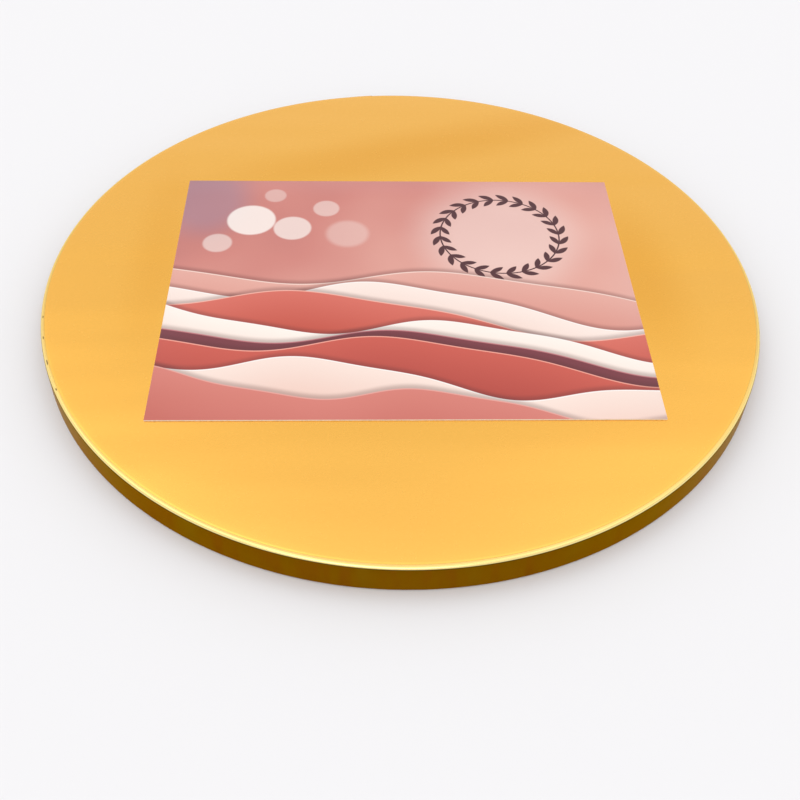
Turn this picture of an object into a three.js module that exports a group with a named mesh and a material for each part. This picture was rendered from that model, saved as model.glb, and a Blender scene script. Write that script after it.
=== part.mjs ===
// Round cake board of the thick kind called a drum, wrapped in gold foil paper, with a printed card lying on it.
// Millimetres, +Z up. The origin is the centre of the underside, and +X runs along the card's long side.
import * as THREE from "three";

// Board
const BOARD_DIAMETER = 304.8; // twelve inches
const BOARD_THICKNESS = 13; // a core of half an inch, with the sheets and the strip
const TOP_SHOULDER_RADIUS = 1.2; // the edge strip's bend from the wall onto the top
const BASE_SHOULDER_RADIUS = 0.9; // its bend from the wall onto the underside
const TOP_SHEET_THICKNESS = 0.12; // foil sheet glued on top, over the strip's turned-in margin
const TOP_SHEET_INSET = 1.5; // from the wall to that sheet's cut edge
const BASE_SHEET_THICKNESS = 0.15; // paper sheet glued underneath
const BASE_SHEET_INSET = 3.0; // from the wall to that sheet's cut edge

// Printed card
const CARD_WIDTH = 199; // along X
const CARD_DEPTH = 156; // along Y
const CARD_THICKNESS = 0.6;
const CARD_OFFSET_Y = -6.4; // the card lies a little in front of the board's centre

// Faceting
const SEGMENTS = 120; // around the board
const SHOULDER_STEPS = 4; // along each rounded shoulder
const FACE_BORDER = 16; // from a sheet's edge to an inner ring of points, which keeps the facets near the rim short

const GOLD_FOIL = new THREE.MeshStandardMaterial({ color: "#f6bd5b", metalness: 0.9, roughness: 0.35 });
const PRINTED_CARD = new THREE.MeshStandardMaterial({ color: "#e3a79f", metalness: 0, roughness: 0.45 });

// A quarter of a circle in the section, from one angle to the other in degrees. An angle of 0 points outwards.
function shoulder(centreRadius, centreHeight, radius, fromDegrees, toDegrees) {
  const points = [];
  for (let step = 0; step <= SHOULDER_STEPS; step++) {
    const degrees = fromDegrees + ((toDegrees - fromDegrees) * step) / SHOULDER_STEPS;
    const angle = THREE.MathUtils.degToRad(degrees);
    points.push(
      new THREE.Vector2(centreRadius + radius * Math.cos(angle), centreHeight + radius * Math.sin(angle)),
    );
  }
  return points;
}

// The board's section from the centre of the underside, out round the wall and back to the centre of the top.
function boardSection() {
  const wall = BOARD_DIAMETER / 2;
  const baseSheet = wall - BASE_SHEET_INSET;
  const topSheet = wall - TOP_SHEET_INSET;
  const stripLow = BASE_SHEET_THICKNESS;
  const stripHigh = BOARD_THICKNESS - TOP_SHEET_THICKNESS;
  return [
    new THREE.Vector2(0, 0),
    new THREE.Vector2(baseSheet - FACE_BORDER, 0),
    new THREE.Vector2(baseSheet, 0),
    new THREE.Vector2(baseSheet, stripLow),
    ...shoulder(wall - BASE_SHOULDER_RADIUS, stripLow + BASE_SHOULDER_RADIUS, BASE_SHOULDER_RADIUS, -90, 0),
    ...shoulder(wall - TOP_SHOULDER_RADIUS, stripHigh - TOP_SHOULDER_RADIUS, TOP_SHOULDER_RADIUS, 0, 90),
    new THREE.Vector2(topSheet, stripHigh),
    new THREE.Vector2(topSheet, BOARD_THICKNESS),
    new THREE.Vector2(topSheet - FACE_BORDER, BOARD_THICKNESS),
    new THREE.Vector2(0, BOARD_THICKNESS),
  ];
}

// The wrapped board, turned about +Z.
function makeBoard() {
  const geometry = new THREE.LatheGeometry(boardSection(), SEGMENTS);
  geometry.rotateX(Math.PI / 2);
  const board = new THREE.Mesh(geometry, GOLD_FOIL);
  board.name = "board";
  return board;
}

// The printed card, flat on the board's top sheet.
function makeCard() {
  const card = new THREE.Mesh(new THREE.BoxGeometry(CARD_WIDTH, CARD_DEPTH, CARD_THICKNESS), PRINTED_CARD);
  card.position.set(0, CARD_OFFSET_Y, BOARD_THICKNESS + CARD_THICKNESS / 2);
  card.name = "label_card";
  return card;
}

const cakeBoard = new THREE.Group();
cakeBoard.add(makeBoard(), makeCard());

export default cakeBoard;
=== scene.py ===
"""Round gold cake board with a printed card lying on it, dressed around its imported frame.

The board is a thick cardboard drum. A foil strip is rolled round its wall and turned in over both faces, a
foil sheet is glued on top inside the strip's bright edge, and a plain sheet covers the underside. Lengths
are metres, +Z is up and the origin is the centre of the underside.
"""

import logging
import math
from collections.abc import Callable, Iterable, Sequence
from dataclasses import dataclass
from enum import Enum
from typing import Any

import bmesh
import bpy
from mathutils import Matrix, Vector


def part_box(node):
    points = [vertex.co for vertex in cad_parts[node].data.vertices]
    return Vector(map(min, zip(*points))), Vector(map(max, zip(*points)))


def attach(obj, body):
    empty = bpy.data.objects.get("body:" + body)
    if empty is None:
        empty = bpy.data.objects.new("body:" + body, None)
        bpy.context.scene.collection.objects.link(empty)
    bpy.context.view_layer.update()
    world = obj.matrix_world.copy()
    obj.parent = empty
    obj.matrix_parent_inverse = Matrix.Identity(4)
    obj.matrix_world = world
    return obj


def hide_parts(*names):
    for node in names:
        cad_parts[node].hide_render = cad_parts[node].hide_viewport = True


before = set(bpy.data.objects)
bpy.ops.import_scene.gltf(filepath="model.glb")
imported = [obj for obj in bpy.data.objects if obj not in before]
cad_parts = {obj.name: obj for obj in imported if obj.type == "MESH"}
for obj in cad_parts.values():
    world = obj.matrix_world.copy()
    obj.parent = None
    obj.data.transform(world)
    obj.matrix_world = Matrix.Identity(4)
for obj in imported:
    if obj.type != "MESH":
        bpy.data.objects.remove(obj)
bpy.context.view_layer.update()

LOG = logging.getLogger("cake_board")
MM = 0.001
BOARD_NODE = "board"
CARD_NODE = "label_card"
LEVEL_FACE = 0.9999  # a face whose normal has more than this along Z is a level one


class Slot(Enum):
    """Material slots of the record."""

    FOIL = "gold_foil_board"
    CARD = "printed_card"


def linear(hex_colour: str) -> tuple[float, float, float, float]:
    """Turn an sRGB hex colour into the linear colour that a shader reads.

    Args:
        hex_colour: The colour as "#RRGGBB".

    Returns:
        Red, green, blue and alpha, each from 0 to 1.
    """
    channels = [int(hex_colour[i : i + 2], 16) / 255 for i in (1, 3, 5)]
    values = [c / 12.92 if c <= 0.04045 else ((c + 0.055) / 1.055) ** 2.4 for c in channels]
    return (values[0], values[1], values[2], 1.0)


def add_node(
    tree: bpy.types.NodeTree,
    kind: str,
    inputs: dict[Any, Any] | None = None,
    **settings: Any,
) -> Any:
    """Add one node with its settings, values and links.

    Args:
        tree: The node tree that takes the node.
        kind: The node's type, without the leading "ShaderNode".
        inputs: Socket name or number to a value, or to the output that is linked there.
        **settings: Attributes of the node, such as operation="ADD".

    Returns:
        The new node.
    """
    node = tree.nodes.new("ShaderNode" + kind)
    for name, value in settings.items():
        setattr(node, name, value)
    for key, value in (inputs or {}).items():
        if isinstance(value, bpy.types.NodeSocket):
            tree.links.new(value, node.inputs[key])
        else:
            node.inputs[key].default_value = value
    return node


def set_ramp(node: Any, stops: Sequence[tuple[float, str]]) -> None:
    """Give a colour ramp its stops.

    Args:
        node: The ramp's node.
        stops: Place from 0 to 1 and sRGB hex colour of each stop, in rising order.
    """
    elements = node.color_ramp.elements
    while len(elements) > 1:
        elements.remove(elements[-1])
    elements[0].position = stops[0][0]
    elements[0].color = linear(stops[0][1])
    for place, colour in stops[1:]:
        elements.new(place).color = linear(colour)


def new_material(name: str) -> tuple[bpy.types.Material, bpy.types.NodeTree]:
    """Make an empty node material.

    Args:
        name: The material's name.

    Returns:
        The material and its node tree.
    """
    material = bpy.data.materials.new(name)
    material.use_nodes = True
    material.node_tree.nodes.clear()
    return material, material.node_tree


def close_material(tree: bpy.types.NodeTree, shader: Any) -> None:
    """Link a shader to the material's output."""
    add_node(tree, "OutputMaterial", {"Surface": shader.outputs[0]})


def deselect_all() -> None:
    """Leave edit mode and deselect every object."""
    if bpy.context.object is not None and bpy.context.object.mode != "OBJECT":
        bpy.ops.object.mode_set(mode="OBJECT")
    bpy.ops.object.select_all(action="DESELECT")


def activate(piece: bpy.types.Object) -> None:
    """Select one object alone and make it active.

    Args:
        piece: The object.
    """
    deselect_all()
    piece.select_set(True)
    bpy.context.view_layer.objects.active = piece


def edit(piece: bpy.types.Object, mode: str = "VERT") -> None:
    """Enter edit mode on a piece with nothing selected.

    Args:
        piece: The object to edit.
        mode: VERT, EDGE or FACE.
    """
    activate(piece)
    bpy.ops.object.mode_set(mode="EDIT")
    bpy.ops.mesh.select_mode(type=mode)
    bpy.ops.mesh.select_all(action="DESELECT")


def pick_verts(piece: bpy.types.Object, test: Callable[[Vector], bool]) -> None:
    """Select the vertices that pass a test, and the edges and faces between them.

    Args:
        piece: The object, in edit mode.
        test: Tells from a vertex's place whether it is selected.
    """
    mesh = bmesh.from_edit_mesh(piece.data)
    for vert in mesh.verts:
        vert.select = test(vert.co)
    mesh.select_flush(True)
    bmesh.update_edit_mesh(piece.data)


def pick_edges(piece: bpy.types.Object, test: Callable[[Vector, Vector], bool]) -> None:
    """Select the edges that pass a test.

    Args:
        piece: The object, in edit mode.
        test: Tells from the places of an edge's two ends whether it is selected.
    """
    mesh = bmesh.from_edit_mesh(piece.data)
    for edge in mesh.edges:
        edge.select_set(test(edge.verts[0].co, edge.verts[1].co))
    bmesh.update_edit_mesh(piece.data)


def pick_faces(piece: bpy.types.Object, test: Callable[[Vector, Vector], bool]) -> None:
    """Select the faces that pass a test.

    Args:
        piece: The object, in edit mode.
        test: Tells from a face's centre and normal whether it is selected.
    """
    mesh = bmesh.from_edit_mesh(piece.data)
    for face in mesh.faces:
        face.select_set(test(face.calc_center_median(), face.normal))
    bmesh.update_edit_mesh(piece.data)


def finish_piece(piece: bpy.types.Object, name: str, smooth_degrees: float) -> bpy.types.Object:
    """Leave edit mode, put a piece's place in its mesh, point its faces outwards and smooth it.

    Args:
        piece: The object to finish.
        name: Its name in the scene.
        smooth_degrees: Edges that bend less than this are shaded smooth.

    Returns:
        The same object.
    """
    activate(piece)
    bpy.ops.object.mode_set(mode="EDIT")
    bpy.ops.mesh.select_all(action="SELECT")
    bpy.ops.mesh.normals_make_consistent(inside=False)
    bpy.ops.mesh.select_all(action="DESELECT")
    bpy.ops.object.mode_set(mode="OBJECT")
    bpy.ops.object.transform_apply(location=True, rotation=True, scale=True)
    bpy.ops.object.shade_smooth_by_angle(angle=math.radians(smooth_degrees))
    piece.name = name
    piece.data.name = name
    return piece


def seat(
    piece: bpy.types.Object,
    replaced: str,
    slot: Slot,
    materials: Iterable[bpy.types.Material],
) -> None:
    """Give a piece its materials and its body, and hide the frame's solid that it stands for.

    Args:
        piece: The finished object.
        replaced: The frame's node that it stands for.
        slot: Not used.
        materials: The materials, in the order of the mesh's material numbers.
    """
    for material in materials:
        piece.data.materials.append(material)
    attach(piece, "root")
    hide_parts(replaced)
    LOG.info("%s: %d faces", piece.name, len(piece.data.polygons))


@dataclass(frozen=True)
class Oval:
    """An oval field, with its middle, its half sizes and its turn about +Z.

    Its softness is the width of its blurred border as a share of its radius.
    """

    x: float
    y: float
    half_width: float
    half_height: float
    turn_degrees: float = 0.0
    softness: float = 0.1

    def mask(self, tree: bpy.types.NodeTree, place: Any, level: float = 0.0) -> Any:
        """Make a mask that is 1 inside the oval and 0 outside it.

        Args:
            tree: The node tree that takes the mask.
            place: The socket with the place, in the oval's own unit.
            level: Height at which the oval lies.

        Returns:
            The mask's socket.
        """
        local = add_node(
            tree,
            "Mapping",
            {
                "Vector": place,
                "Location": (self.x, self.y, level),
                "Rotation": (0.0, 0.0, math.radians(self.turn_degrees)),
                "Scale": (self.half_width, self.half_height, self.half_width),
            },
            vector_type="TEXTURE",
        )
        distance = add_node(tree, "VectorMath", {0: local.outputs[0]}, operation="LENGTH")
        return add_node(
            tree,
            "MapRange",
            {
                "Value": distance.outputs["Value"],
                "From Min": 1 + self.softness / 2,
                "From Max": 1 - self.softness / 2,
            },
            interpolation_type="SMOOTHSTEP",
        ).outputs[0]


@dataclass(frozen=True)
class PaintedEdgeGapShadows:
    """Four small dark marks by the top sheet's cut edge at the left, painted shadow where the edge lifts."""

    level: float
    azimuths_degrees: tuple[float, ...] = (-170.4, -165.5, -159.8, -153.6)
    half_lengths: tuple[float, ...] = (0.75 * MM, 0.85 * MM, 1.5 * MM, 0.7 * MM)
    radius: float = 151.35 * MM
    half_width: float = 0.22 * MM
    softness: float = 0.5
    # colour of the painted shadow
    tone: str = "#6A5018"

    def lay(self, tree: bpy.types.NodeTree, place: Any, colour: Any) -> tuple[Any, Any]:
        """Lay the painted shadows over a foil's colour.

        Args:
            tree: The foil's node tree.
            place: The socket with the place, in metres.
            colour: The socket with the foil's colour.

        Returns:
            The socket with the new colour, and the socket with how much of the metal is left.
        """
        metal = 1.0
        for azimuth, half_length in zip(self.azimuths_degrees, self.half_lengths):
            angle = math.radians(azimuth)
            gap_shadow = Oval(
                self.radius * math.cos(angle),
                self.radius * math.sin(angle),
                self.half_width,
                half_length,
                turn_degrees=azimuth,
                softness=self.softness,
            )
            share = gap_shadow.mask(tree, place, self.level)
            metal = add_node(tree, "Math", {0: metal, 1: share}, operation="SUBTRACT").outputs[0]
        mix = add_node(tree, "Mix", {"Factor": metal, 6: linear(self.tone), 7: colour}, data_type="RGBA")
        return mix.outputs[2], metal


@dataclass(frozen=True)
class SatinGoldSheet:
    """Metallised gold paper with a satin lacquer, pasted flat.

    The metal gives the gold its even, slightly blurred sheen. The lacquer's fine grain shows as faint
    specks. A long streak behind the card is a painted dark reflection, laid as a deeper gold, and a patch
    on each side of the card is painted shade in the same gold. The roller that pressed the sheet down left
    long shallow waves, which bend the sheen a little. At the cut edge a thin ring of painted shade darkens
    the sheet.
    """

    centre: Vector
    radius: float
    tone: str = "#FDC35E"
    speck_tone: str = "#FCC25D"
    # painted shade in a thin ring along the sheet's cut edge
    painted_edge_shade_tone: str = "#E8B95A"
    roughness: float = 0.27
    gloss_spread: float = 0.009
    grain_size: float = 1.1 * MM  # the real grain is near 0.2 mm, too fine to show
    grain_depth: float = 0.0022 * MM
    speck_end: float = 0.35  # noise value up to which a speck has its full tone
    plain_start: float = 0.6  # noise value from which the plain tone shows
    wave_length: float = 190 * MM
    wave_width: float = 34 * MM
    wave_depth: float = 0.55 * MM
    wave_turn_degrees: float = 12.0
    # deeper gold for painted shade: a painted dark reflection behind the card and painted shade beside it
    painted_reflection_and_shade_tone: str = "#F7B951"
    # painted dark reflection streak behind the card, then painted shade at the card's right and left
    painted_reflection_and_shade_patches: tuple[tuple[Oval, float], ...] = (
        (Oval(16 * MM, 102.5 * MM, 95 * MM, 14 * MM, turn_degrees=18.7, softness=1.7), 0.95),
        (Oval(104 * MM, 2 * MM, 15 * MM, 40 * MM, turn_degrees=4.0, softness=1.7), 1.0),
        (Oval(-107 * MM, 20 * MM, 10 * MM, 48 * MM, softness=1.7), 0.6),
    )
    # width of that ring of painted shade
    painted_edge_shade_width: float = 0.3 * MM

    def build(self) -> bpy.types.Material:
        """Make the material.

        Returns:
            The material.
        """
        material, tree = new_material("satin_gold_paper")
        place = add_node(tree, "TexCoord").outputs["Object"]
        grain = add_node(tree, "TexNoise", {"Vector": place, "Scale": 1 / self.grain_size, "Detail": 2.0})
        tone = add_node(tree, "ValToRGB", {"Fac": grain.outputs["Fac"]})
        set_ramp(tone, [(self.speck_end, self.speck_tone), (self.plain_start, self.tone)])
        gloss = add_node(
            tree,
            "MapRange",
            {
                "Value": grain.outputs["Fac"],
                "To Min": self.roughness - self.gloss_spread,
                "To Max": self.roughness + self.gloss_spread,
            },
        )
        rolled = add_node(
            tree,
            "Mapping",
            {
                "Vector": place,
                "Rotation": (0.0, 0.0, math.radians(self.wave_turn_degrees)),
                "Scale": (1 / self.wave_length, 1 / self.wave_width, 1 / self.wave_width),
            },
        )
        waves = add_node(tree, "TexNoise", {"Vector": rolled.outputs[0], "Scale": 1.0, "Detail": 1.0})
        wave_bump = add_node(tree, "Bump", {"Height": waves.outputs["Fac"], "Distance": self.wave_depth})
        grain_bump = add_node(
            tree,
            "Bump",
            {"Height": grain.outputs["Fac"], "Distance": self.grain_depth, "Normal": wave_bump.outputs[0]},
        )
        colour = tone.outputs["Color"]
        # paint the dark reflection streak and the shade patches beside the card into the colour
        for patch, strength in self.painted_reflection_and_shade_patches:
            share = add_node(
                tree, "Math", {0: patch.mask(tree, place, self.centre.z), 1: strength}, operation="MULTIPLY"
            )
            mix = add_node(
                tree,
                "Mix",
                {"Factor": share.outputs[0], 6: colour, 7: linear(self.painted_reflection_and_shade_tone)},
                data_type="RGBA",
            )
            colour = mix.outputs[2]
        # darken a thin ring inside the cut edge: painted shade where the sheet steps down to the strip
        inward = add_node(tree, "VectorMath", {0: place, 1: self.centre}, operation="SUBTRACT")
        distance = add_node(tree, "VectorMath", {0: inward.outputs[0]}, operation="LENGTH")
        edge = add_node(
            tree,
            "MapRange",
            {
                "Value": distance.outputs["Value"],
                "From Min": self.radius - self.painted_edge_shade_width,
                "From Max": self.radius - self.painted_edge_shade_width / 2,
            },
        )
        edge_shaded = add_node(
            tree,
            "Mix",
            {"Factor": edge.outputs[0], 6: colour, 7: linear(self.painted_edge_shade_tone)},
            data_type="RGBA",
        )
        # painted shadow where the sheet's cut edge lifts
        gap_shaded, metal = PaintedEdgeGapShadows(self.centre.z).lay(tree, place, edge_shaded.outputs[2])
        shader = add_node(
            tree,
            "BsdfPrincipled",
            {
                "Base Color": gap_shaded,
                "Metallic": metal,
                "Roughness": gloss.outputs[0],
                "Normal": grain_bump.outputs[0],
            },
        )
        close_material(tree, shader)
        return material


@dataclass(frozen=True)
class GlossGoldStrip:
    """Bright gold foil strip, rolled tight round the wall and turned in over both faces.

    Where it bends over the top edge it catches the overhead light, and its colour is painted paler there as
    a painted highlight over the real one, with a painted dark line under it. On the wall its colour is
    painted a deep bronze gold, a painted dark reflection over the real, dimmer reflection of the floor, and
    it is painted a little lighter low down, where the floor that it mirrors lies in shade. Faint upright
    streaks of tone run over the wall, because it lies on the rough cut edge of the board, whose layers also
    make it duller there. Where the strip's end laps over its start, painted shade darkens the upright edge.
    """

    top: float
    height: float
    lap_azimuth_degrees: float | None = None
    # painted shade along the lap's upright edge
    lap_edge_shade_tone: str = "#33240A"
    lap_edge_shade_width: float = 0.5 * MM
    lap_edge_shade_share: float = 0.8
    margin: str = "#FBD682"
    bend: str = "#FADA88"
    # paler colour on the bend: a painted highlight added to the real one from the overhead light
    painted_highlight: str = "#FFE99C"
    # painted dark line under the painted highlight
    painted_shade_line: str = "#4E3804"
    # wall colour painted dark: a painted dark reflection over the real, dimmer reflection of the floor
    wall: str = "#7C5305"
    # painted lighter low on the wall, where the real reflection shows the floor's shade
    painted_light_foot: str = "#93640A"
    ruddy_streak: str = "#864A14"
    ruddy_noise: tuple[float, float] = (0.52, 0.7)  # noise values between which it comes in
    olive_streak: str = "#846414"
    olive_noise: tuple[float, float] = (0.48, 0.3)
    tint: str = "#FFE2A8"
    gloss_roughness: float = 0.2
    wall_roughness: float = 0.34
    streak_width: float = 9 * MM
    streak_height: float = 40 * MM
    streak_share: float = 0.6
    streak_depth: float = 0.02 * MM
    bend_drop: float = 0.03 * MM  # below the flat margin, where the bend starts
    painted_highlight_drop: float = 0.2 * MM  # where its painted highlight starts
    bright_drop: float = 0.5 * MM  # where it ends
    line_drop: float = 0.7 * MM
    wall_drop: float = 1.2 * MM

    def build(self) -> bpy.types.Material:
        """Make the material.

        Returns:
            The material.
        """
        material, tree = new_material("gloss_gold_foil_strip")
        place = add_node(tree, "TexCoord").outputs["Object"]
        level = add_node(tree, "SeparateXYZ", {"Vector": place}).outputs["Z"]
        drop = add_node(
            tree, "MapRange", {"Value": level, "From Min": self.top, "From Max": self.top - self.height}
        )
        tone = add_node(tree, "ValToRGB", {"Fac": drop.outputs[0]})
        # the ramp by height paints a highlight on the bend, a dark line under it, a dark wall and a lighter
        # low part
        set_ramp(
            tone,
            [
                (0.0, self.margin),
                (self.bend_drop / self.height, self.bend),
                (self.painted_highlight_drop / self.height, self.painted_highlight),
                (self.bright_drop / self.height, self.painted_highlight),
                (self.line_drop / self.height, self.painted_shade_line),
                (self.wall_drop / self.height, self.wall),
                (1.0, self.painted_light_foot),
            ],
        )
        upright = add_node(
            tree,
            "Mapping",
            {
                "Vector": place,
                "Scale": (1 / self.streak_width, 1 / self.streak_width, 1 / self.streak_height),
            },
        )
        streaks = add_node(tree, "TexNoise", {"Vector": upright.outputs[0], "Scale": 1.0, "Detail": 4.0})
        on_wall = add_node(
            tree,
            "MapRange",
            {
                "Value": drop.outputs[0],
                "From Min": self.line_drop / self.height,
                "From Max": self.wall_drop / self.height,
            },
        ).outputs[0]
        colour = tone.outputs["Color"]
        streak_tones = ((self.ruddy_streak, *self.ruddy_noise), (self.olive_streak, *self.olive_noise))
        for streak_tone, start, full in streak_tones:
            streaked = add_node(
                tree,
                "MapRange",
                {
                    "Value": streaks.outputs["Fac"],
                    "From Min": start,
                    "From Max": full,
                    "To Max": self.streak_share,
                },
            )
            share = add_node(tree, "Math", {0: streaked.outputs[0], 1: on_wall}, operation="MULTIPLY")
            mix = add_node(
                tree,
                "Mix",
                {"Factor": share.outputs[0], 6: colour, 7: linear(streak_tone)},
                data_type="RGBA",
            )
            colour = mix.outputs[2]
        # painted shade along the upright edge where the strip's end laps over its start
        if self.lap_azimuth_degrees is not None:
            azimuth = math.radians(self.lap_azimuth_degrees)
            across = add_node(
                tree,
                "VectorMath",
                {0: place, 1: (-math.sin(azimuth), math.cos(azimuth), 0.0)},
                operation="DOT_PRODUCT",
            )
            glued = add_node(
                tree,
                "MapRange",
                {
                    "Value": across.outputs["Value"],
                    "From Min": self.lap_edge_shade_width,
                    "From Max": self.lap_edge_shade_width / 2,
                    "To Max": self.lap_edge_shade_share,
                },
            )
            mix = add_node(
                tree,
                "Mix",
                {"Factor": glued.outputs[0], 6: colour, 7: linear(self.lap_edge_shade_tone)},
                data_type="RGBA",
            )
            colour = mix.outputs[2]
        # painted shadow where the sheet's cut edge lifts
        gap_shaded, metal = PaintedEdgeGapShadows(self.top).lay(tree, place, colour)
        gloss = add_node(
            tree,
            "MapRange",
            {"Value": on_wall, "To Min": self.gloss_roughness, "To Max": self.wall_roughness},
        )
        bump = add_node(tree, "Bump", {"Height": streaks.outputs["Fac"], "Distance": self.streak_depth})
        shader = add_node(
            tree,
            "BsdfPrincipled",
            {
                "Base Color": gap_shaded,
                "Metallic": metal,
                "Roughness": gloss.outputs[0],
                "Specular Tint": linear(self.tint),
                "Normal": bump.outputs[0],
            },
        )
        close_material(tree, shader)
        return material


@dataclass(frozen=True)
class PlainWhitePaper:
    """Uncoated white paper on the underside, pressed flat: matt, with faint clouding from its fibres."""

    pale: str = "#EFECE5"
    dark: str = "#E9E5DC"
    cloud_size: float = 9 * MM
    dark_end: float = 0.35  # noise value up to which the dark tone is full
    pale_start: float = 0.65  # noise value from which the pale tone is full
    fibre_size: float = 0.9 * MM  # real fibres are thinner, and this is as coarse as shows
    fibre_depth: float = 0.01 * MM
    roughness: float = 0.85

    def build(self) -> bpy.types.Material:
        """Make the material.

        Returns:
            The material.
        """
        material, tree = new_material("uncoated_white_paper")
        place = add_node(tree, "TexCoord").outputs["Object"]
        clouds = add_node(tree, "TexNoise", {"Vector": place, "Scale": 1 / self.cloud_size, "Detail": 4.0})
        tone = add_node(tree, "ValToRGB", {"Fac": clouds.outputs["Fac"]})
        set_ramp(tone, [(self.dark_end, self.dark), (self.pale_start, self.pale)])
        fibres = add_node(tree, "TexNoise", {"Vector": place, "Scale": 1 / self.fibre_size, "Detail": 3.0})
        bump = add_node(tree, "Bump", {"Height": fibres.outputs["Fac"], "Distance": self.fibre_depth})
        shader = add_node(
            tree,
            "BsdfPrincipled",
            {"Base Color": tone.outputs["Color"], "Roughness": self.roughness, "Normal": bump.outputs[0]},
        )
        close_material(tree, shader)
        return material


@dataclass(frozen=True)
class CardStock:
    """Cut edge and back of white cover board: cream, matt and finely fibrous."""

    pale: str = "#F2ECDF"
    dark: str = "#E6DECD"
    dark_end: float = 0.35
    pale_start: float = 0.6
    fibre_size: float = 0.7 * MM
    roughness: float = 0.8

    def build(self) -> bpy.types.Material:
        """Make the material.

        Returns:
            The material.
        """
        material, tree = new_material("cover_board_stock")
        place = add_node(tree, "TexCoord").outputs["Object"]
        fibres = add_node(tree, "TexNoise", {"Vector": place, "Scale": 1 / self.fibre_size, "Detail": 3.0})
        tone = add_node(tree, "ValToRGB", {"Fac": fibres.outputs["Fac"]})
        set_ramp(tone, [(self.dark_end, self.dark), (self.pale_start, self.pale)])
        shader = add_node(
            tree,
            "BsdfPrincipled",
            {"Base Color": tone.outputs["Color"], "Roughness": self.roughness},
        )
        close_material(tree, shader)
        return material


@dataclass(frozen=True)
class PaperWave:
    """One layer of the print's cut-paper waves, in millimetres from the card's centre."""

    level: float
    swell: float
    length: float
    phase: float
    edge: str
    tone: str
    deep: str


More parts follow.
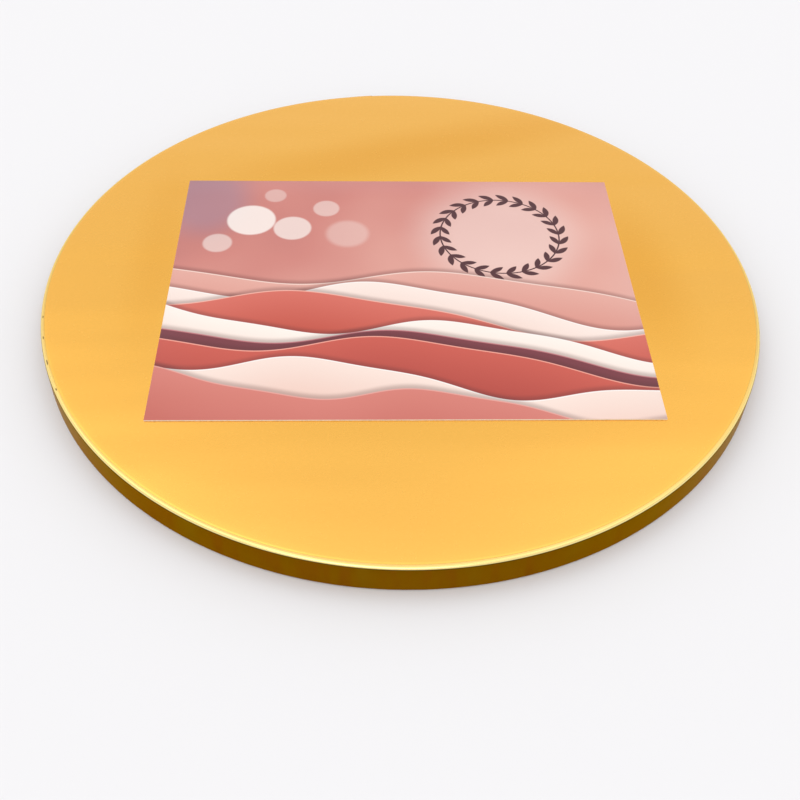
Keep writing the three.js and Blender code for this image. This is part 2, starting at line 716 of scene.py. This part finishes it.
class CardPrint:
    """Offset print on coated card: soft fields of ink under a thin gloss.

    The ink gives flat matt tones and the gloss a faint sheen over them. The design is a plain one: cut-paper
    waves in cream, coral and wine red over a blurred dusty pink ground, out-of-focus discs of light, and a
    ring of leaves round an empty field. Its measures are millimetres on the card.
    """

    GROUND = ((0.0, "#E4C2B6"), (0.35, "#D9A094"), (0.7, "#C77E75"), (1.0, "#AB635F"))
    GROUND_LEVEL = 0.2  # place in the ground's ramp at the card's centre, before the clouds are added
    GROUND_ACROSS = -0.0022  # rise of that place per millimetre to the right
    GROUND_UP = 0.0030  # and per millimetre upwards
    CLOUD_SIZE = 55
    CLOUD_DETAIL = 1.5
    CLOUD_ROUGHNESS = 0.4
    CLOUD_SHARE = 0.5
    WAVES = (
        PaperWave(4, 8.0, 205, 0.5, "#ECD2C8", "#DBA498", "#D08B7F"),
        PaperWave(-7, 8.5, 168, 1.5, "#F2EFEC", "#EFE0D8", "#E7C9BD"),
        PaperWave(-16, 8.0, 188, 2.5, "#E9AD9F", "#CF685A", "#BA4A3A"),
        PaperWave(-27, 7.0, 150, 0.4, "#F2EFEC", "#F2E9E1", "#EACFC3"),
        PaperWave(-35, 7.0, 172, 1.1, "#BA7278", "#73303B", "#59232E"),
        PaperWave(-40, 7.5, 176, 1.3, "#EA9E8F", "#C35548", "#AB4036"),
        PaperWave(-55, 6.5, 142, 2.9, "#F2EFEC", "#EEDBD1", "#E5C2B5"),
        PaperWave(-66, 5.0, 120, 0.8, "#DD9C93", "#CE7A6F", "#BE6358"),
    )
    WAVE_SLOPE = -0.12
    RIPPLE_LENGTH = 0.43  # of the long wave's length
    RIPPLE_SWELL = 0.22  # of its height
    RIPPLE_PHASE = 2.3  # of its phase
    WAVE_FADE = 26.0  # depth over which a layer's colour deepens
    EDGE_LINE = 0.45  # width of a layer's pale cut edge
    EDGE_BLEND = 1.6  # where the edge has turned to the layer's tone, in widths of the edge
    SHADOW_REACH = 4.0
    SHADOW_SHARE = 0.42
    BLUR = Oval(-90, 62, 19, 24, softness=0.9)
    BLUR_SHARE = 0.4
    DISCS = (
        (Oval(-68, 47, 11, 11, softness=0.12), 0.8),
        (Oval(-49, 41, 8.5, 8.5, softness=0.14), 0.62),
        (Oval(-82, 30, 6.5, 6.5, softness=0.2), 0.45),
        (Oval(-34, 56, 6, 6, softness=0.2), 0.4),
        (Oval(-58, 66, 5, 5, softness=0.25), 0.3),
        (Oval(-24, 37, 9.5, 9.5, softness=0.35), 0.25),
    )
    RING_CENTRE = (45.0, 36.0)
    RING_RADIUS = 27.0
    GLOW_REACH = 1.25  # of the ring's radius
    GLOW_SOFTNESS = 0.9
    GLOW_SHARE = 0.35
    STEM_WIDTH = 0.7
    LEAF_COUNT = 24
    LEAF_HALF_LENGTH = 3.7
    LEAF_HALF_WIDTH = 1.35
    LEAF_LEAN_DEGREES = 35.0
    WINE = "#491D25"
    LIGHT = "#F2EBE5"
    BLUE_GREY = "#847F99"
    SHADOW = "#521C22"
    SHARP = 0.15  # half width of a crisp printed border
    ROUGHNESS = 0.36
    VARNISH_IOR = 1.45

    def __init__(self, centre: Vector) -> None:
        """Start the print with its ground.

        Args:
            centre: Centre of the card's top face.
        """
        self.material, self.tree = new_material("offset_print_on_coated_card")
        place = add_node(self.tree, "TexCoord").outputs["Object"]
        self.place_mm = add_node(
            self.tree,
            "Mapping",
            {"Vector": place, "Location": centre, "Scale": (MM, MM, MM)},
            vector_type="TEXTURE",
        ).outputs[0]
        split = add_node(self.tree, "SeparateXYZ", {"Vector": self.place_mm})
        self.across = split.outputs["X"]
        self.up = split.outputs["Y"]
        self.ink = self.ground()

    def lay(self, mask: Any, tone: Any, strength: float = 1.0) -> None:
        """Lay a tone over the print.

        Args:
            mask: The socket with the mask.
            tone: A linear colour, or the socket with one.
            strength: How much of the tone shows where the mask is 1.
        """
        share = add_node(self.tree, "Math", {0: mask, 1: strength}, operation="MULTIPLY")
        mix = add_node(
            self.tree, "Mix", {"Factor": share.outputs[0], 6: self.ink, 7: tone}, data_type="RGBA"
        )
        self.ink = mix.outputs[2]

    def ground(self) -> Any:
        """Blur a dusty pink ground that deepens to the upper left.

        Returns:
            The socket with the ground's colour.
        """
        cloud = add_node(
            self.tree,
            "TexNoise",
            {
                "Vector": self.place_mm,
                "Scale": 1 / self.CLOUD_SIZE,
                "Detail": self.CLOUD_DETAIL,
                "Roughness": self.CLOUD_ROUGHNESS,
            },
        )
        sides = add_node(
            self.tree,
            "Math",
            {0: self.across, 1: self.GROUND_ACROSS, 2: self.GROUND_LEVEL},
            operation="MULTIPLY_ADD",
        )
        slope = add_node(
            self.tree,
            "Math",
            {0: self.up, 1: self.GROUND_UP, 2: sides.outputs[0]},
            operation="MULTIPLY_ADD",
        )
        total = add_node(
            self.tree,
            "Math",
            {0: cloud.outputs["Fac"], 1: self.CLOUD_SHARE, 2: slope.outputs[0]},
            operation="MULTIPLY_ADD",
        )
        ramp = add_node(self.tree, "ValToRGB", {"Fac": total.outputs[0]})
        set_ramp(ramp, self.GROUND)
        return ramp.outputs["Color"]

    def add_wave(self, base: Any, length: float, swell: float, phase: float) -> Any:
        """Add one wave across the card to a height.

        Args:
            base: The socket with the height.
            length: The wave's length, in millimetres.
            swell: Its half height, in millimetres.
            phase: Its phase, in radians.

        Returns:
            The socket with the new height.
        """
        angle = add_node(
            self.tree, "Math", {0: self.across, 1: math.tau / length, 2: phase}, operation="MULTIPLY_ADD"
        )
        sine = add_node(self.tree, "Math", {0: angle.outputs[0]}, operation="SINE")
        return add_node(
            self.tree, "Math", {0: sine.outputs[0], 1: swell, 2: base}, operation="MULTIPLY_ADD"
        ).outputs[0]

    def wave_layer(self, layer: PaperWave) -> None:
        """Lay one cut-paper wave with the shadow that it casts on what lies above its edge.

        Args:
            layer: The wave.
        """
        crest = add_node(
            self.tree,
            "Math",
            {0: self.across, 1: self.WAVE_SLOPE, 2: layer.level},
            operation="MULTIPLY_ADD",
        ).outputs[0]
        crest = self.add_wave(crest, layer.length, layer.swell, layer.phase)
        crest = self.add_wave(
            crest,
            layer.length * self.RIPPLE_LENGTH,
            layer.swell * self.RIPPLE_SWELL,
            layer.phase * self.RIPPLE_PHASE,
        )
        depth = add_node(self.tree, "Math", {0: crest, 1: self.up}, operation="SUBTRACT").outputs[0]
        shade = add_node(
            self.tree,
            "MapRange",
            {"Value": depth, "From Min": -self.SHADOW_REACH, "From Max": 0.0},
            interpolation_type="SMOOTHERSTEP",
        )
        self.lay(shade.outputs[0], linear(self.SHADOW), self.SHADOW_SHARE)
        fade = add_node(self.tree, "MapRange", {"Value": depth, "From Max": self.WAVE_FADE})
        tone = add_node(self.tree, "ValToRGB", {"Fac": fade.outputs[0]})
        line = self.EDGE_LINE / self.WAVE_FADE
        set_ramp(
            tone,
            [
                (0.0, layer.edge),
                (line, layer.edge),
                (line * self.EDGE_BLEND, layer.tone),
                (1.0, layer.deep),
            ],
        )
        mask = add_node(
            self.tree, "MapRange", {"Value": depth, "From Min": -self.SHARP, "From Max": self.SHARP}
        )
        self.lay(mask.outputs[0], tone.outputs["Color"])

    def lights(self) -> None:
        """Lay a blue-grey blur and the out-of-focus discs of light over the upper left."""
        self.lay(self.BLUR.mask(self.tree, self.place_mm), linear(self.BLUE_GREY), self.BLUR_SHARE)
        for disc, strength in self.DISCS:
            self.lay(disc.mask(self.tree, self.place_mm), linear(self.LIGHT), strength)

    def leaves(self, around: Any, outward: Any, side: int) -> None:
        """Lay the leaves that lean to one side of the ring's stem.

        Args:
            around: The socket with the angle round the ring, in radians.
            outward: The socket with the distance from the ring's centre.
            side: 1 for the outer leaves and -1 for the inner ones.
        """
        sector = math.tau / self.LEAF_COUNT
        lean = math.radians(self.LEAF_LEAN_DEGREES) * side
        wrapped = add_node(
            self.tree,
            "Math",
            {0: around, 1: sector * (1 + side) / 2, 2: sector * (3 + side) / 2},
            operation="WRAP",
        )
        local = add_node(
            self.tree, "Math", {0: wrapped.outputs[0], 1: sector * (2 + side) / 2}, operation="SUBTRACT"
        )
        along_ring = add_node(
            self.tree, "Math", {0: local.outputs[0], 1: self.RING_RADIUS}, operation="MULTIPLY"
        )
        off_ring = add_node(self.tree, "Math", {0: outward, 1: self.RING_RADIUS}, operation="SUBTRACT")
        spot = add_node(self.tree, "CombineXYZ", {"X": along_ring.outputs[0], "Y": off_ring.outputs[0]})
        middle = self.LEAF_HALF_LENGTH * math.sin(lean)
        leaf = add_node(
            self.tree,
            "Mapping",
            {
                "Vector": spot.outputs[0],
                "Location": (0.0, middle, 0.0),
                "Rotation": (0.0, 0.0, lean),
                "Scale": (self.LEAF_HALF_LENGTH, self.LEAF_HALF_WIDTH, 1.0),
            },
            vector_type="TEXTURE",
        )
        axes = add_node(self.tree, "SeparateXYZ", {"Vector": leaf.outputs[0]})
        squared = add_node(self.tree, "Math", {0: axes.outputs["X"], 1: 2.0}, operation="POWER")
        width = add_node(self.tree, "Math", {0: axes.outputs["Y"]}, operation="ABSOLUTE")
        reach = add_node(self.tree, "Math", {0: squared.outputs[0], 1: width.outputs[0]}, operation="ADD")
        border = self.SHARP / self.LEAF_HALF_WIDTH
        mask = add_node(
            self.tree,
            "MapRange",
            {"Value": reach.outputs[0], "From Min": 1 + border, "From Max": 1 - border},
        )
        self.lay(mask.outputs[0], linear(self.WINE))

    def leaf_ring(self) -> None:
        """Lay a pale glow, the ring's stem and its leaves."""
        reach = self.RING_RADIUS * self.GLOW_REACH
        glow = Oval(*self.RING_CENTRE, reach, reach, softness=self.GLOW_SOFTNESS)
        self.lay(glow.mask(self.tree, self.place_mm), linear(self.LIGHT), self.GLOW_SHARE)
        inward = add_node(
            self.tree, "VectorMath", {0: self.place_mm, 1: (*self.RING_CENTRE, 0.0)}, operation="SUBTRACT"
        )
        length = add_node(self.tree, "VectorMath", {0: inward.outputs[0]}, operation="LENGTH")
        outward = length.outputs["Value"]
        axes = add_node(self.tree, "SeparateXYZ", {"Vector": inward.outputs[0]})
        around = add_node(
            self.tree, "Math", {0: axes.outputs["Y"], 1: axes.outputs["X"]}, operation="ARCTAN2"
        ).outputs[0]
        off = add_node(
            self.tree,
            "Math",
            {0: outward, 1: self.RING_RADIUS, 2: self.STEM_WIDTH / 2},
            operation="COMPARE",
        )
        self.lay(off.outputs[0], linear(self.WINE))
        for side in (-1, 1):
            self.leaves(around, outward, side)

    def build(self) -> bpy.types.Material:
        """Lay every motif over the ground and close the material.

        Returns:
            The material.
        """
        self.lights()
        self.leaf_ring()
        for layer in self.WAVES:
            self.wave_layer(layer)
        shader = add_node(
            self.tree,
            "BsdfPrincipled",
            {"Base Color": self.ink, "Roughness": self.ROUGHNESS, "IOR": self.VARNISH_IOR},
        )
        close_material(self.tree, shader)
        return self.material


@dataclass
class WrappedDrum:
    """The cardboard drum in its foil strip, which is turned in over both faces round two small shoulders."""

    radius: float
    low: float
    high: float
    top_shoulder: float = 1.2 * MM
    base_shoulder: float = 0.9 * MM
    facets: int = 256
    shoulder_facets: int = 9
    support: float = 0.15 * MM  # from a shoulder to the ring of edges that keeps its shading crisp
    near: float = 0.01 * MM

    def ring(self, height: float) -> Callable[[Vector, Vector], bool]:
        """Make a test for the edges of the drum's outer ring at a height.

        Args:
            height: The ring's height.

        Returns:
            The test, which takes the places of an edge's two ends.
        """

        def test(first: Vector, second: Vector) -> bool:
            """Tell whether both ends of an edge lie on the ring."""
            off_level = max(abs(first.z - height), abs(second.z - height))
            return off_level < self.near and min(first.xy.length, second.xy.length) > self.radius - self.near

        return test

    def build(self) -> bpy.types.Object:
        """Model the drum from a cylinder: round both rims, then add support rings beside them.

        Returns:
            The drum.
        """
        deselect_all()
        bpy.ops.mesh.primitive_cylinder_add(
            vertices=self.facets,
            radius=self.radius,
            depth=self.high - self.low,
            location=(0, 0, (self.high + self.low) / 2),
            end_fill_type="NGON",
        )
        drum = bpy.context.object
        bpy.ops.object.transform_apply(location=True)
        for height, offset in ((self.high, self.top_shoulder), (self.low, self.base_shoulder)):
            edit(drum, "EDGE")
            pick_edges(drum, self.ring(height))
            bpy.ops.mesh.bevel(
                offset=offset,
                offset_type="OFFSET",
                segments=self.shoulder_facets,
                profile=0.5,
            )
        under_top = self.high - self.top_shoulder - self.support
        over_base = self.low + self.base_shoulder + self.support
        for height in (under_top, over_base):
            bpy.ops.mesh.select_all(action="SELECT")
            bpy.ops.mesh.bisect(plane_co=(0, 0, height), plane_no=(0, 0, 1))
        bpy.ops.mesh.select_mode(type="FACE")
        for normal_z in (1, -1):
            pick_faces(
                drum,
                lambda centre, normal, n=normal_z: normal.z * n > LEVEL_FACE and centre.xy.length < MM,
            )
            bpy.ops.mesh.inset(thickness=self.support)
        return finish_piece(drum, "wrapped_drum", smooth_degrees=30)


@dataclass
class GluedSheet:
    """A round sheet glued on one of the board's faces, with its cut edge a little soft.

    Where the press squeezed the rim, the outermost stretch of the sheet falls away slightly.
    """

    name: str
    radius: float
    low: float
    high: float
    outward: int
    centre: tuple[float, float] = (0.0, 0.0)
    facets: int = 256
    edge_round: float = 0.04 * MM
    near: float = 0.005 * MM
    fall: float = 0.0
    fall_width: float = 4.0 * MM
    fall_rings: int = 4

    def lower_rim(self, sheet: bpy.types.Object) -> None:
        """Inset the outer face in even rings and lower them to a curve that steepens towards the rim.

        Args:
            sheet: The sheet, in edit mode with its outer face selected.
        """
        step = self.fall_width / self.fall_rings
        face_radius = self.radius - self.edge_round
        middle = Vector((*self.centre, 0.0))
        for _ in range(self.fall_rings):
            bpy.ops.mesh.inset(thickness=step)
        bpy.ops.mesh.select_mode(type="VERT")
        for ring in range(self.fall_rings):
            inner = face_radius - (ring + 0.5) * step
            outer = inner + step + self.edge_round
            share = (1 - ring / self.fall_rings) ** 2
            pick_verts(
                sheet,
                lambda spot, a=inner, b=outer: a < (spot - middle).xy.length <= b
                and spot.z > self.low + self.edge_round,
            )
            bpy.ops.transform.translate(value=(0, 0, -self.fall * share))

    def build(self) -> bpy.types.Object:
        """Model the sheet from a flat cylinder: round its outer rim, then inset and lower its border.

        Returns:
            The sheet.
        """
        deselect_all()
        bpy.ops.mesh.primitive_cylinder_add(
            vertices=self.facets,
            radius=self.radius,
            depth=self.high - self.low,
            location=(*self.centre, (self.high + self.low) / 2),
            end_fill_type="NGON",
        )
        sheet = bpy.context.object
        bpy.ops.object.transform_apply(location=True)
        outer = self.high if self.outward > 0 else self.low
        edit(sheet, "EDGE")
        pick_edges(sheet, lambda a, b: max(abs(a.z - outer), abs(b.z - outer)) < self.near)
        bpy.ops.mesh.bevel(offset=self.edge_round, offset_type="OFFSET", segments=3, profile=0.5)
        bpy.ops.mesh.select_mode(type="FACE")
        pick_faces(sheet, lambda centre, normal: normal.z * self.outward > LEVEL_FACE)
        self.lower_rim(sheet)
        return finish_piece(sheet, self.name, smooth_degrees=30)


@dataclass
class StripLap:
    """The foil strip's outer end, which laps over its start at the back of the board."""

    drum: bpy.types.Object
    azimuth_degrees: float = 97.0
    width_degrees: float = 4.6
    thickness: float = 0.12 * MM
    feather_rate: float = 1.6  # the foil thins over 1 / 1.6 of the lap's width
    feather_end: float = 0.02  # share of its thickness that is left at the thin end

    def cut(self, degrees: float, keep_after: bool) -> None:
        """Cut all that is selected with an upright plane through the axis, and drop one side of it.

        Args:
            degrees: The plane's azimuth.
            keep_after: True keeps what lies at larger azimuths.
        """
        angle = math.radians(degrees)
        bpy.ops.mesh.select_all(action="SELECT")
        bpy.ops.mesh.bisect(
            plane_co=(0, 0, 0),
            plane_no=(-math.sin(angle), math.cos(angle), 0),
            clear_inner=keep_after,
            clear_outer=not keep_after,
        )

    @property
    def start_degrees(self) -> float:
        """Azimuth of the lap's upright edge."""
        return self.azimuth_degrees - self.width_degrees / 2

    def build(self) -> bpy.types.Object:
        """Model the lap from a wedge of the drum's skin, thickened outwards and feathered at one end.

        Returns:
            The lap.
        """
        activate(self.drum)
        bpy.ops.object.duplicate()
        lap = bpy.context.object
        lap.data.materials.clear()
        edit(lap, "FACE")
        pick_faces(lap, lambda centre, normal: abs(normal.z) > LEVEL_FACE)
        bpy.ops.mesh.delete(type="FACE")
        end = self.azimuth_degrees + self.width_degrees / 2
        self.cut(self.start_degrees, True)
        self.cut(end, False)
        bpy.ops.object.mode_set(mode="OBJECT")
        group = lap.vertex_groups.new(name="thickness")
        for vert in lap.data.vertices:
            degrees = math.degrees(math.atan2(vert.co.y, vert.co.x))
            share = min(1.0, max(0.0, (end - degrees) / self.width_degrees * self.feather_rate))
            group.add([vert.index], share, "REPLACE")
        solid = lap.modifiers.new("foil", "SOLIDIFY")
        solid.thickness = self.thickness
        solid.offset = 1.0
        solid.vertex_group = group.name
        solid.thickness_vertex_group = self.feather_end
        activate(lap)
        bpy.ops.object.modifier_apply(modifier=solid.name)
        bpy.ops.object.vertex_group_remove(all=True)
        return finish_piece(lap, "strip_lap", smooth_degrees=40)


@dataclass
class Card:
    """The printed card: a cut rectangle of cover board, lying flat."""

    low: Vector
    high: Vector
    edge_round: float = 0.08 * MM
    cuts: int = 12

    def build(self) -> bpy.types.Object:
        """Model the card from a cube of its size: ease its edges and divide its faces.

        Returns:
            The card.
        """
        size = self.high - self.low
        middle = (self.high + self.low) / 2
        deselect_all()
        bpy.ops.mesh.primitive_cube_add(size=1, location=middle, scale=size)
        card = bpy.context.object
        bpy.ops.object.transform_apply(location=True, scale=True)
        edit(card, "EDGE")
        bpy.ops.mesh.select_all(action="SELECT")
        bpy.ops.mesh.bevel(offset=self.edge_round, offset_type="OFFSET", segments=2, profile=0.5)
        for cut in range(1, self.cuts):
            share = cut / self.cuts
            for axis in range(2):
                normal = Vector((0, 0, 0))
                normal[axis] = 1
                bpy.ops.mesh.select_all(action="SELECT")
                bpy.ops.mesh.bisect(plane_co=self.low + size * share, plane_no=normal)
        return finish_piece(card, "printed_card", smooth_degrees=40)

    def number_faces(self, card: bpy.types.Object) -> None:
        """Give the top face the print, and the cut edge and the back the bare stock."""
        for face in card.data.polygons:
            face.material_index = 0 if face.normal.z > 0.5 else 1


@dataclass(frozen=True)
class PhotoCamera:
    """The camera, at the photograph's viewing angle over the board's top face."""

    lens_mm: float = 48.29
    sensor_mm: float = 36.0
    aside: float = 0.72 * MM
    back: float = 361.5 * MM
    above: float = 298.7 * MM
    pitch_degrees: float = 46.05
    roll_degrees: float = 1.75
    card_turn_degrees: float = 2.6  # the camera stands this far round the board from the card's own front
    clip_start: float = 10 * MM

    def build(self, top: float) -> None:
        """Add the camera.

        Args:
            top: Height of the board's top face.
        """
        turn = Matrix.Rotation(math.radians(-self.card_turn_degrees), 4, "Z")
        tip = Matrix.Rotation(math.radians(90 - self.pitch_degrees), 4, "X")
        roll = Matrix.Rotation(math.radians(self.roll_degrees), 4, "Z")
        place = turn @ Vector((self.aside, -self.back, top + self.above))
        deselect_all()
        bpy.ops.object.camera_add(location=place, rotation=(turn @ tip @ roll).to_euler())
        camera = bpy.context.object
        camera.name = "photo_camera"
        camera.data.lens = self.lens_mm
        camera.data.sensor_width = self.sensor_mm
        camera.data.clip_start = self.clip_start
        bpy.context.scene.camera = camera


@dataclass(frozen=True)
class SkyStop:
    """Brightness of the dome at one height, which is the sine of the angle above the horizon."""

    height: float
    red: float
    green: float
    blue: float


@dataclass(frozen=True)
class Studio:
    """Plain pale floor, soft light from all round that is a little brighter overhead, and three soft keys.

    One key stands on each side at the back, and one above the camera.
    """

    floor_tone: str = "#E7E8EA"
    floor_roughness: float = 0.9
    floor_size: float = 12.0
    key_strengths: tuple[float, ...] = (0.26, 0.13, 0.4)
    key_azimuths_degrees: tuple[float, ...] = (140.0, 42.0, -105.0)
    key_elevations_degrees: tuple[float, ...] = (58.0, 58.0, 60.0)
    key_spread_degrees: float = 40.0
    sky_strength: float = 1.6
    sky: tuple[SkyStop, ...] = (
        SkyStop(0.0, 0.60, 0.60, 0.60),
        SkyStop(0.40, 0.58, 0.58, 0.62),
        SkyStop(0.49, 0.61, 0.60, 0.68),
        SkyStop(0.55, 0.50, 0.47, 0.45),
        SkyStop(0.64, 0.53, 0.50, 0.42),
        SkyStop(0.73, 0.515, 0.485, 0.43),
        SkyStop(0.80, 0.60, 0.58, 0.575),
        SkyStop(0.86, 0.645, 0.635, 0.665),
        SkyStop(0.93, 0.73, 0.73, 0.74),
        SkyStop(1.0, 0.68, 0.68, 0.68),
    )

    def build_floor(self) -> None:
        """Add the floor, which only the stage holds."""
        deselect_all()
        bpy.ops.mesh.primitive_plane_add(size=self.floor_size, location=(0, 0, 0))
        floor = bpy.context.object
        floor.name = "studio_floor"
        material, tree = new_material("matt_studio_floor")
        shader = add_node(
            tree,
            "BsdfPrincipled",
            {"Base Color": linear(self.floor_tone), "Roughness": self.floor_roughness},
        )
        close_material(tree, shader)
        floor.data.materials.append(material)

    def build_sky(self) -> None:
        """Light the scene with a plain dome whose brightness follows its stops."""
        world = bpy.data.worlds.new("soft_dome")
        world.use_nodes = True
        tree = world.node_tree
        tree.nodes.clear()
        towards = add_node(tree, "TexCoord").outputs["Generated"]
        height = add_node(tree, "SeparateXYZ", {"Vector": towards}).outputs["Z"]
        ramp = add_node(tree, "ValToRGB", {"Fac": height})
        elements = ramp.color_ramp.elements
        while len(elements) > 1:
            elements.remove(elements[-1])
        for index, stop in enumerate(self.sky):
            element = elements[0] if index == 0 else elements.new(stop.height)
            element.position = stop.height
            element.color = (stop.red, stop.green, stop.blue, 1.0)
        light = add_node(
            tree,
            "Background",
            {"Color": ramp.outputs["Color"], "Strength": self.sky_strength},
        )
        add_node(tree, "OutputWorld", {"Surface": light.outputs[0]})
        bpy.context.scene.world = world

    def build_keys(self) -> None:
        """Add the keys, which are wide soft suns."""
        keys = zip(self.key_strengths, self.key_azimuths_degrees, self.key_elevations_degrees)
        for strength, azimuth_degrees, elevation_degrees in keys:
            azimuth = math.radians(azimuth_degrees)
            elevation = math.radians(elevation_degrees)
            flat = math.cos(elevation)
            towards = Vector((math.cos(azimuth) * flat, math.sin(azimuth) * flat, math.sin(elevation)))
            deselect_all()
            bpy.ops.object.light_add(type="SUN", rotation=towards.to_track_quat("Z", "Y").to_euler())
            key = bpy.context.object
            key.name = "soft_key"
            key.data.energy = strength
            key.data.angle = math.radians(self.key_spread_degrees)

    def build(self) -> None:
        """Add the floor and the lights, and set the plain view transform."""
        self.build_floor()
        self.build_sky()
        self.build_keys()
        bpy.context.scene.view_settings.view_transform = "Standard"


@dataclass
class CakeBoard:
    """The board and its card, placed by the frame's solids."""

    top_sheet_thickness: float = 0.12 * MM
    top_sheet_inset: float = 1.5 * MM
    top_sheet_fall: float = 0.04 * MM
    base_sheet_thickness: float = 0.15 * MM
    base_sheet_inset: float = 3.0 * MM
    sheet_shift: tuple[float, float] = (0.0, 0.45 * MM)

    def build(self) -> None:
        """Build and seat every piece."""
        low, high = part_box(BOARD_NODE)
        radius = (high.x - low.x) / 2
        strip_low = low.z + self.base_sheet_thickness
        strip_high = high.z - self.top_sheet_thickness
        strip_foil = GlossGoldStrip(top=strip_high, height=strip_high - strip_low).build()
        drum = WrappedDrum(radius, strip_low, strip_high).build()
        lap_maker = StripLap(drum)
        lap = lap_maker.build()
        lap_foil = GlossGoldStrip(
            top=strip_high, height=strip_high - strip_low, lap_azimuth_degrees=lap_maker.start_degrees
        ).build()
        seat(drum, BOARD_NODE, Slot.FOIL, [strip_foil])
        seat(lap, BOARD_NODE, Slot.FOIL, [lap_foil])
        sheet_radius = radius - self.top_sheet_inset
        top_sheet = GluedSheet(
            "top_sheet",
            sheet_radius,
            strip_high,
            high.z,
            1,
            centre=self.sheet_shift,
            fall=self.top_sheet_fall,
        ).build()
        sheet_centre = Vector((*self.sheet_shift, high.z))
        seat(top_sheet, BOARD_NODE, Slot.FOIL, [SatinGoldSheet(sheet_centre, sheet_radius).build()])
        base_sheet = GluedSheet("base_sheet", radius - self.base_sheet_inset, low.z, strip_low, -1).build()
        seat(base_sheet, BOARD_NODE, Slot.FOIL, [PlainWhitePaper().build()])
        card_low, card_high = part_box(CARD_NODE)
        centre = Vector(((card_low.x + card_high.x) / 2, (card_low.y + card_high.y) / 2, card_high.z))
        maker = Card(card_low, card_high)
        card = maker.build()
        seat(card, CARD_NODE, Slot.CARD, [CardPrint(centre).build(), CardStock().build()])
        maker.number_faces(card)


def main() -> None:
    """Build the object, the stage and the camera."""
    logging.basicConfig(level=logging.INFO, format="%(name)s: %(message)s")
    CakeBoard().build()
    Studio().build()
    PhotoCamera().build(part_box(BOARD_NODE)[1].z)


if __name__ == "__main__":
    main()
